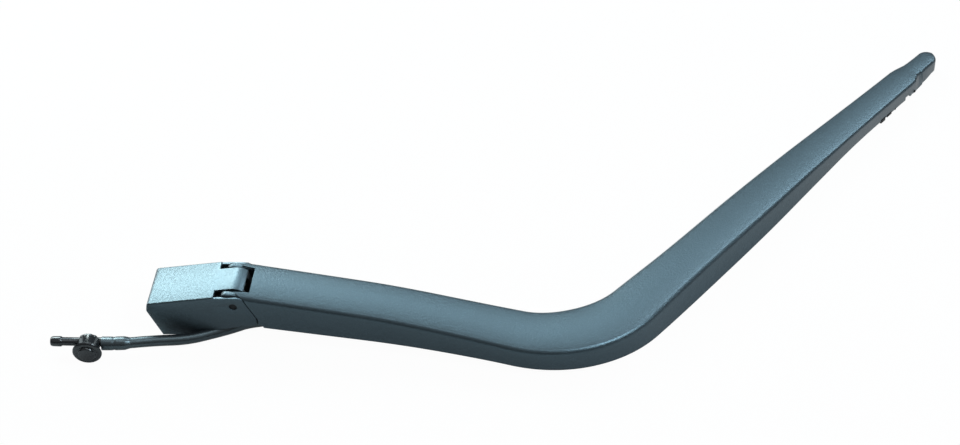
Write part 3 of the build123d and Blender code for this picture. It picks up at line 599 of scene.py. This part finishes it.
def ear_mesh():
    """Both ears with their turned-in rims."""
    mesh = bmesh.new()
    web_top = section(WEB_START + 2, 0.0)[-WALL_POINTS - CORNER_POINTS - 1][1]
    end = [(x - EAR_ROUND_BACK, z + EAR_ROUND_UP) for x, z in arc(EAR_ROUND, 88, 178, 10)]
    back = [(x - EAR_ROUND_BACK, z + EAR_ROUND_UP) for x, z in arc(EAR_ROUND - SHEET, 178, 88, 10)]
    plate = end + arc(EAR_RADIUS, 186, 262, 12)
    plate += [(EAR_END, EAR_FOOT), (EAR_END, 5.0), (12.0, web_top - 0.6)]
    rim = end + back + [(13.0, web_top - SHEET - 0.1), (13.0, web_top - 0.1)]
    joggle = [(STEP_START, 0.0), (EAR_END, 0.0), (EAR_END, EAR_FOOT), (STEP_START, EAR_FOOT)]
    for side in (-1, 1):
        prism(mesh, plate, side * (EAR_OUTER - SHEET), side * EAR_OUTER)
        prism(mesh, rim, side * NOTCH_HALF, side * (EAR_OUTER - 0.01))
        prism(mesh, joggle, side * (EAR_OUTER - SHEET), side * STEP_OUTER)
    bmesh.ops.transform(mesh, matrix=Matrix.Translation(hinge), verts=mesh.verts)
    bmesh.ops.recalc_face_normals(mesh, faces=mesh.faces)
    return mesh


def piece_of(name, mesh, material):
    data = bpy.data.meshes.new(name)
    mesh.to_mesh(data)
    mesh.free()
    data.materials.append(material)
    piece = bpy.data.objects.new(name, data)
    bpy.context.collection.objects.link(piece)
    return piece


def soften(piece, width, limit="ANGLE", segments=2):
    """Round the sharp edges a little and shade the rest smooth."""
    if width:
        edges = piece.modifiers.new("edges", "BEVEL")
        edges.width = width * MM
        edges.segments = segments
        edges.limit_method = limit
        edges.angle_limit = radians(35.0)
        edges.use_clamp_overlap = limit == "ANGLE"
        edges.loop_slide = False
        keep(piece, edges)
    piece.data.shade_smooth()
    piece.data.set_sharp_from_angle(angle=radians(40.0))


def powder_coat(name, low, high, gloss):
    """Black coat with a fine orange peel and pale grains that catch the light."""
    finish = Finish(name)
    peel = finish.noise(650.0, 4.0, 0.65)
    cloud = finish.noise(45.0, 3.0)
    grain = finish.noise(1500.0, 1.0).step(0.54, 0.72)
    colour = finish.tint(grain * 0.6 + cloud * 0.3, low, high)
    return finish.surface(Base_Color=colour, Roughness=peel * 0.2 + cloud * 0.05 + gloss, Specular_IOR_Level=1.0,
                          Specular_Tint=(0.62, 0.87, 1.0, 1.0), Normal=finish.bump(peel, 0.00022, 0.7))


bender = arm_bender()
coat = powder_coat("black_powder_coat", (0.008, 0.010, 0.012), (0.026, 0.034, 0.040), 0.24)
channel = piece_of("arm_pressing", channel_mesh(), coat)
along_arm(channel, coat)
soften(channel, 0)
ears = piece_of("hinge_ears", ear_mesh(), coat)
soften(ears, 0.35)
for piece in (channel, ears):
    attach(piece, "arm")
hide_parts("arm_channel")
dress("spring_anchor", coat)


# Cover cap: a moulded shell that clips over the head and the ends of the hinge pin.
# Its tongue rolls down round the hinge, and its two cheeks hide the ears.
HEAD_PITCH = radians(14.0)
COVER_TOP, COVER_DEPTH, COVER_LENGTH, COVER_FOOT = 9.7, 17.2, 57.0, 53.0
COVER_BULGE, COVER_SHOULDER, COVER_ROUND, COVER_EDGE = 4.0, 2.2, 3.0, 2.2
COVER_HALF, COVER_FOOT_HALF, COVER_WALL, COVER_PLATE = 16.1, 17.3, 1.8, 2.0
CHEEK_TOP = ((-10.4, 8.8), (-4.0, 8.1), (3.0, 7.1), (6.2, 6.4), (7.6, 5.2))
CHEEK_FOOT = ((11.5, -12.0), (10.6, -17.2))
COVER_SAG = ((0.0, -17.8), (-14.0, -18.9), (-28.0, -19.5), (-40.0, -19.2))
NOTCH_START, TONGUE_HALF, LIP_END = 10.4, 9.4, 38.0
PIN_HOLE = 2.55
FAR = 60.0
# planes that split the long faces, along and up, so that the flare bends them evenly
SPLITS_ALONG, SPLITS_UP = range(-50, -11, 5), (-12, -7, -2, 3)
# share of COVER_EDGE on the long edges and on all others
WEIGHT_LONG, WEIGHT_REST = 0.45, 0.1


def round_corner(before, corner, after, radius, count=6):
    """Points that round one corner of an outline."""
    a = Vector(before) - Vector(corner)
    b = Vector(after) - Vector(corner)
    half_angle = a.angle(b) / 2
    reach = radius * cos(half_angle) / sin(half_angle)
    start = Vector(corner) + a.normalized() * reach
    end = Vector(corner) + b.normalized() * reach
    curve = []
    for i in range(count + 1):
        t = i / count
        curve.append(tuple((1 - t) ** 2 * start + 2 * t * (1 - t) * Vector(corner) + t ** 2 * end))
    return curve


def cover_side(inset):
    """Side of the cap from the foot of its closed end to the end of its lip."""
    top = COVER_TOP - inset
    foot = (inset - COVER_FOOT, -COVER_DEPTH)
    bulge = (inset - COVER_LENGTH, COVER_BULGE)
    shoulder = (bulge[0] + COVER_SHOULDER, top)
    outline = [foot]
    outline += round_corner(foot, bulge, shoulder, COVER_ROUND - inset * 0.6)
    outline += round_corner(bulge, shoulder, (0.0, top), COVER_ROUND - inset * 0.6)
    return outline + arc(top, 90, LIP_END, 14)


def carve(mesh, tools):
    """Cut tools out of a closed mesh, one after the other."""
    bmesh.ops.recalc_face_normals(mesh, faces=mesh.faces)
    body = piece_of("carved", mesh, None)
    for tool in tools:
        bmesh.ops.recalc_face_normals(tool, faces=tool.faces)
        cutter = piece_of("tool", tool, None)
        cut = body.modifiers.new("cut", "BOOLEAN")
        cut.operation = "DIFFERENCE"
        cut.solver = "EXACT"
        cut.object = cutter
        keep(body, cut)
        bpy.data.objects.remove(cutter)
    result = bmesh.new()
    result.from_mesh(body.data)
    bpy.data.objects.remove(body)
    bmesh.ops.remove_doubles(result, verts=result.verts, dist=0.000002)
    bmesh.ops.dissolve_limit(result, angle_limit=radians(1.0), verts=result.verts, edges=result.edges)
    return result


def cover_tools():
    """Cuts in the full block: hollow, slots beside the tongue, the cheeks' outline and the pin hole."""
    wide = COVER_HALF - COVER_WALL
    hollow = bmesh.new()
    lip = radians(LIP_END)
    mouth = [(FAR * cos(lip), FAR * sin(lip)), (FAR, -FAR), (COVER_PLATE - COVER_FOOT, -FAR)]
    prism(hollow, cover_side(COVER_PLATE) + mouth, -wide, wide)
    tools = [hollow]
    slot = [(-NOTCH_START, -FAR), (FAR, -FAR), (FAR, FAR), (-NOTCH_START, FAR)]
    cheek = [*CHEEK_TOP, *CHEEK_FOOT, (CHEEK_FOOT[-1][0], -FAR), (FAR, -FAR), (FAR, FAR), (-NOTCH_START, FAR)]
    for side in (-1, 1):
        for outline, start, end in ((slot, TONGUE_HALF, wide), (cheek, wide - 1.0, FAR)):
            tool = bmesh.new()
            prism(tool, outline, side * start, side * end)
            tools.append(tool)
    pin = bmesh.new()
    prism(pin, arc(PIN_HOLE, 0, 345, 23), -FAR, FAR)
    return tools + [pin]


def cover_mesh():
    block = bmesh.new()
    outline = cover_side(0.0) + [(13.0, 4.0), (13.0, -COVER_DEPTH), *COVER_SAG]
    prism(block, outline, -COVER_HALF, COVER_HALF)
    mesh = carve(block, cover_tools())
    cuts = [(Vector((u, 0, 0)), Vector((1, 0, 0))) for u in SPLITS_ALONG]
    cuts += [(Vector((0, 0, w)), Vector((0, 0, 1))) for w in SPLITS_UP]
    for place, normal in cuts:
        geometry = [*mesh.verts, *mesh.edges, *mesh.faces]
        bmesh.ops.bisect_plane(mesh, geom=geometry, plane_co=place * MM, plane_no=normal, dist=0.000001)
    # the closed end is a little wider at its foot
    for vert in mesh.verts:
        u, v, w = vert.co / MM
        back = max(0.0, -u - NOTCH_START) / (COVER_FOOT - NOTCH_START)
        depth = (COVER_TOP - w) / (COVER_TOP + COVER_DEPTH)
        if abs(v) > TONGUE_HALF + 1:
            vert.co.y += (COVER_FOOT_HALF - COVER_HALF) * back * depth * (1 if v > 0 else -1) * MM
    weight = mesh.edges.layers.float.new("bevel_weight_edge")
    for edge in mesh.edges:
        u, v, w = (edge.verts[0].co + edge.verts[1].co) / 2 / MM
        if len(edge.link_faces) == 2 and edge.calc_face_angle(0.0) > radians(30):
            long_top = w > COVER_TOP - 0.05 and abs(v) > COVER_HALF - 0.05 and u < -NOTCH_START
            back_side = u < -COVER_FOOT + 0.5 and abs(v) > COVER_HALF - 0.05
            edge[weight] = WEIGHT_LONG if long_top or back_side else WEIGHT_REST
    stand = Matrix.Translation(hinge) @ Matrix.Rotation(-HEAD_PITCH, 4, "Y")
    bmesh.ops.transform(mesh, matrix=stand, verts=mesh.verts)
    return mesh


cap_finish = powder_coat("black_textured_cap", (0.009, 0.011, 0.013), (0.030, 0.040, 0.046), 0.22)
cap = piece_of("cover_cap_shell", cover_mesh(), cap_finish)
soften(cap, COVER_EDGE, "WEIGHT", 4)
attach(cap, "head")
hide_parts("cover_cap")


# Tension spring: close-coiled steel wire, zinc plated, that pulls the arm towards the glass.
# One end loop hangs in the hook's tab and the other in the anchor under the web.
dress("tension_spring", steel)


# Washer hose: soft black rubber, free from the valve to the front of the channel and clipped under the web from there.
# It swells where it is pushed over the valve's outlet.
HOSE_RADIUS = 3.5
VALVE_X, VALVE_Y, VALVE_Z, VALVE_YAW = -89.2, -35.7, 8.4, radians(5.0)
OUTLET_REACH, OUTLET_SIDE = (8.1, 20.1), -1.2
# distance and offset from the hinge, height over the table
TAIL_ROUTE = ((-50.0, -28.0, 5.6), (-30.0, -23.2, 3.7), (-13.0, -15.2, 3.6), (-2.5, -12.2, 5.9), (8.0, -10.6, 10.6))
# distance from hinge, offset from centre line, height over the walls' lower edge
RUN_ROUTE = (
    (48.0, -10.6, 18.2), (90.0, -10.0, 19.8), (135.0, -8.7, 16.2), (178.0, -7.4, 12.5), (212.0, -5.0, 11.9),
    (246.0, -4.6, 11.5), (290.0, -4.0, 11.1), (345.0, -3.6, 10.0), (400.0, -3.0, 7.9), (455.0, -1.8, 6.1),
    (492.0, 0.0, 5.3), (506.0, 0.0, 5.3),
)
HOSE_SPLIT = 0.27
# swollen end: how far it stands out, and where it ends, measured from the valve; the crease in it and its width
TAIL_SWELL, SWELL_FROM, SWELL_TO, CREASE_AT, CREASE_WIDTH = 0.85, 13.5, 18.0, 7.6, 1.2


def soft_rubber():
    finish = Finish("hose_rubber")
    cloud = finish.noise(160.0, 3.0)
    bloom = finish.noise(700.0, 2.0)
    colour = finish.tint(cloud, (0.006, 0.007, 0.008), (0.012, 0.014, 0.016))
    return finish.surface(Base_Color=colour, Roughness=bloom * 0.06 + 0.3, Specular_IOR_Level=1.0,
                          Specular_Tint=(0.75, 0.93, 1.0, 1.0), Normal=finish.bump(bloom, 0.00001, 0.2))


def hose_former():
    """Tube along a line of points, with a swollen end and a crease in it."""
    form = Former("hose_tube", "Radius", "Swell", "Swell from", "Swell to", "Crease at", "Crease width")
    line = form.add("GeometryNodeMeshToCurve", {}, {"Mesh": form.given("Geometry")})
    left = form.add("GeometryNodeSplineLength") - form.add("GeometryNodeSplineParameter", output="Length")
    swollen = left.step(form.given("Swell to"), form.given("Swell from"))
    away = (left - form.given("Crease at")).absolute()
    crease = (1.0 - away / form.given("Crease width")).at_least(0.0)
    radius = form.given("Radius") + form.given("Swell") * (swollen - 0.4 * crease)
    ring = form.add("GeometryNodeCurvePrimitiveCircle", {}, {"Resolution": 28, "Radius": 1.0})
    sockets = {"Curve": line, "Profile Curve": ring, "Scale": radius, "Fill Caps": True}
    return form.deliver(form.add("GeometryNodeCurveToMesh", {}, sockets))


def smooth_line(points, detail):
    """Points along the smooth line that a route guides."""
    curve = bpy.data.curves.new("route", "CURVE")
    curve.dimensions = "3D"
    spline = curve.splines.new("NURBS")
    spline.points.add(len(points) - 1)
    for guide, point in zip(spline.points, points):
        guide.co = (*point, 1.0)
    spline.order_u = 3
    spline.use_endpoint_u = True
    spline.resolution_u = detail
    route = bpy.data.objects.new("route", curve)
    bpy.context.collection.objects.link(route)
    view = bpy.context.evaluated_depsgraph_get()
    mesh = bpy.data.meshes.new_from_object(route.evaluated_get(view))
    line = [vertex.co.copy() for vertex in mesh.vertices]
    bpy.data.objects.remove(route)
    return line


def hose(name, line, swell):
    data = bpy.data.meshes.new(name)
    data.from_pydata(line, [(i, i + 1) for i in range(len(line) - 1)], [])
    piece = bpy.data.objects.new(name, data)
    bpy.context.collection.objects.link(piece)
    tube.shape(piece, {
        "Radius": HOSE_RADIUS * MM, "Swell": swell * MM, "Swell from": SWELL_FROM * MM, "Swell to": SWELL_TO * MM,
        "Crease at": CREASE_AT * MM, "Crease width": CREASE_WIDTH * MM, "Material": rubber,
    })
    soften(piece, 0)
    return piece


def from_hinge(x, y, height):
    return Vector((hinge.x + x * MM, hinge.y + y * MM, table_z + height * MM))


def run_points():
    """The run's guides, bent along the arm as the pressing is."""
    data = bpy.data.meshes.new("run_guides")
    data.from_pydata([Vector((s, n, z - HINGE_OVER_WALLS)) * MM for s, n, z in RUN_ROUTE], [], [])
    guides = bpy.data.objects.new("run_guides", data)
    bpy.context.collection.objects.link(guides)
    along_arm(guides, None)
    points = [vertex.co.copy() for vertex in guides.data.vertices]
    bpy.data.objects.remove(guides)
    return points


rubber, tube = soft_rubber(), hose_former()
valve_at = Matrix.Translation(from_hinge(VALVE_X, VALVE_Y, VALVE_Z)) @ Matrix.Rotation(VALVE_YAW, 4, "Z")
outlet = [valve_at @ Vector((reach * MM, OUTLET_SIDE * MM, 0.0)) for reach in OUTLET_REACH]
tail = outlet + [from_hinge(*row) for row in TAIL_ROUTE]
run = run_points()
join = tail[-1] + (run[0] - tail[-1]) * HOSE_SPLIT
tail_line = smooth_line([join, *tail[::-1]], 30)
run_line = smooth_line([join, *run], 14)
hose_tail = hose("washer_hose_tail", tail_line, TAIL_SWELL)
hose_run = hose("washer_hose_run", run_line, 0.0)
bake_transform(hose_tail)
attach(hose_run, "arm")
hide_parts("hose_tail")
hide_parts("hose_run")


# Hose clips and nipple: small black mouldings that hold the hose under the web.
# The clips are snapped in along the run, and the nipple joins the hose's end to the insert.
def moulded_black(name, low, high, gloss, grain_depth, sheen=0.5):
    finish = Finish(name)
    grain = finish.noise(1300.0, 3.0, 0.6)
    cloud = finish.noise(120.0, 2.0)
    colour = finish.tint(cloud, low, high)
    return finish.surface(Base_Color=colour, Roughness=grain * 0.12 + gloss, Specular_IOR_Level=sheen,
                          Normal=finish.bump(grain, grain_depth, 0.4))


clip_black = moulded_black("clip_black", (0.006, 0.006, 0.007), (0.010, 0.011, 0.012), 0.45, 0.00004, 0.15)
for node in ("hose_clip_1", "hose_clip_2", "hose_clip_3", "hose_clip_4", "hose_nipple"):
    dress(node, clip_black)


# Tip insert: a black moulded guide that is pushed up under the nose, for the blade's coupling to slide in.
# Two feet and a small pin show at the lower edge of the walls.
INSERT_SPAN, INSERT_HALF, INSERT_ROOF = (519.0, 562.0), 7.6, (5.9, 7.9)
INSERT_POCKET, INSERT_END_WALL = 5.4, 5.0
# start, end and underside of each foot
INSERT_FEET = ((521.5, 526.7, -2.2), (528.6, 534.3, -1.2), (538.3, 539.6, -0.7))
# distance, height and radius of the pin, and the offsets of its ends
INSERT_PIN, PIN_OUTER, PIN_INNER = (562.6, 1.0, 1.0), -11.9, -8.0
INSERT_UNDER, FOOT_TOP, FOOT_OUT = 0.5, 1.0, 0.75


def arm_block(mesh, start, end, near, far, low, high):
    """Block along the arm, between offsets and heights over the walls' lower edge."""
    low, high = low - HINGE_OVER_WALLS, high - HINGE_OVER_WALLS
    drift = station((start + end) / 2)[-1]
    prism(mesh, [(start, low), (end, low), (end, high), (start, high)], near + drift, far + drift)


def insert_mesh():
    mesh = bmesh.new()
    start, end = INSERT_SPAN
    low, high = INSERT_ROOF
    arm_block(mesh, start, end, -INSERT_HALF, INSERT_HALF, low, high)
    arm_block(mesh, start, start + INSERT_END_WALL, -INSERT_HALF, INSERT_HALF, INSERT_UNDER, high - 0.1)
    for side in (-1, 1):
        arm_block(mesh, start, end, side * INSERT_POCKET, side * INSERT_HALF, INSERT_UNDER, high - 0.1)
        for foot_start, foot_end, under in INSERT_FEET:
            outer = side_station(foot_start, side)[0] + FOOT_OUT
            arm_block(mesh, foot_start, foot_end, side * INSERT_POCKET, side * outer, under, FOOT_TOP)
    place, height, radius = INSERT_PIN
    head = [(place + x, height - HINGE_OVER_WALLS + z) for x, z in arc(radius, 0, 330, 11)]
    prism(mesh, head, PIN_OUTER, PIN_INNER)
    bmesh.ops.recalc_face_normals(mesh, faces=mesh.faces)
    return mesh


insert = piece_of("blade_guide", insert_mesh(), clip_black)
along_arm(insert, clip_black)
soften(insert, 0.3)
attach(insert, "arm")
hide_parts("tip_insert")


# Check valve: glossy moulded body with a toothed rim and a barb, closed by a wider cap with a raised disc.
# It hangs on the free end of the hose, with a rubber diaphragm and a small spring inside.
# radius and distance along the body's axis, towards the back
BODY_TURN = (
    (0.01, 2.8), (3.4, 2.8), (4.0, 2.4), (4.2, 0.9), (6.5, 0.8), (6.9, 0.5), (7.1, 0.0), (7.1, -6.8), (7.3, -7.1),
    (7.4, -7.5), (7.3, -7.9), (6.8, -8.1), (6.2, -8.2), (6.2, -9.2), (0.01, -9.2),
)
CAP_TURN = (
    (0.01, -8.7), (8.2, -8.7), (8.9, -8.9), (9.2, -9.4), (9.1, -10.0), (8.6, -10.6), (7.0, -11.0), (6.2, -10.8),
    (5.6, -11.2), (5.4, -11.9), (5.1, -12.2), (4.6, -12.3), (0.01, -12.3),
)
# how far the lid sits above the body's axis
LID_RISE = 0.8
# radius and distance from the body's axis, towards the free end
STEM_TURN = (
    (0.01, 2.0), (2.75, 2.0), (2.7, 16.9), (2.85, 17.2), (3.15, 17.5), (3.3, 18.1), (3.3, 19.0), (3.2, 22.6),
    (3.0, 23.6), (2.6, 24.2), (2.1, 24.4), (1.4, 24.4), (1.4, 18.0), (0.01, 18.0),
)
OUTLET_TURN = ((0.01, 2.0), (3.0, 2.0), (3.0, 9.6), (0.01, 9.6))
TEETH, TOOTH_RING, TOOTH_PLACE, TOOTH = 14, 6.8, -0.4, (0.5, 0.9, 0.9)


def turned(mesh, outline, place, sides=56):
    """Turn an outline of radius and distance round the Z axis of a place."""
    rings = []
    for radius, along in outline:
        turns = [2 * pi * i / sides for i in range(sides)]
        ring = [Vector((radius * cos(t), radius * sin(t), along)) * MM for t in turns]
        rings.append([mesh.verts.new(place @ point) for point in ring])
    for one, two in zip(rings, rings[1:]):
        for i in range(sides):
            mesh.faces.new((one[i - 1], one[i], two[i], two[i - 1]))
    mesh.faces.new(rings[0])
    mesh.faces.new(rings[-1])


def tooth_former():
    """Ring of copies of one tooth, each turned to face outwards."""
    form = Former("ring_of_teeth", "Teeth", "Radius")
    teeth = form.given("Teeth")
    ring = form.add("GeometryNodeMeshCircle", {}, {"Vertices": teeth, "Radius": form.given("Radius")})
    turn = form.add("ShaderNodeCombineXYZ", {}, {2: form.add("GeometryNodeInputIndex") * (2 * pi) / teeth})
    sockets = {"Points": ring, "Instance": form.given("Geometry"), "Rotation": turn}
    return form.deliver(form.add("GeometryNodeInstanceOnPoints", {}, sockets))


def valve_teeth(place):
    mesh = bmesh.new()
    deep, wide, high = TOOTH
    prism(mesh, [(-deep, -high), (deep, -high), (deep, high), (-deep, high)], -wide, wide)
    bmesh.ops.recalc_face_normals(mesh, faces=mesh.faces)
    teeth = piece_of("valve_rim_teeth", mesh, valve_black)
    soften(teeth, 0.3, segments=3)
    tooth_former().shape(teeth, {"Teeth": float(TEETH), "Radius": TOOTH_RING * MM, "Material": valve_black})
    teeth.data.transform(place @ Matrix.Translation((0.0, 0.0, TOOTH_PLACE * MM)))
    return teeth


valve_black = moulded_black("valve_black", (0.006, 0.007, 0.008), (0.012, 0.013, 0.015), 0.1, 0.000008)
# the body's axis points to the back, the stem's to the free end
upright = valve_at @ Matrix.Rotation(radians(-90.0), 4, "X")
lengthwise = valve_at @ Matrix.Rotation(radians(-90.0), 4, "Y")
body_mesh, cap_mesh = bmesh.new(), bmesh.new()
turned(body_mesh, BODY_TURN, upright)
turned(body_mesh, STEM_TURN, lengthwise, 32)
turned(body_mesh, OUTLET_TURN, valve_at @ Matrix.Rotation(radians(90.0), 4, "Y"), 32)
turned(cap_mesh, CAP_TURN, Matrix.Translation((0.0, 0.0, LID_RISE * MM)) @ upright)
valve_pieces = [valve_teeth(upright)]
for name, mesh in (("valve_housing", body_mesh), ("valve_lid", cap_mesh)):
    bmesh.ops.recalc_face_normals(mesh, faces=mesh.faces)
    piece = piece_of(name, mesh, valve_black)
    soften(piece, 0)
    valve_pieces.append(piece)
for piece in valve_pieces:
    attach(piece, "head")
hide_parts("valve_body")
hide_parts("valve_cap")
dress("valve_diaphragm", rubber)
dress("valve_spring", steel)
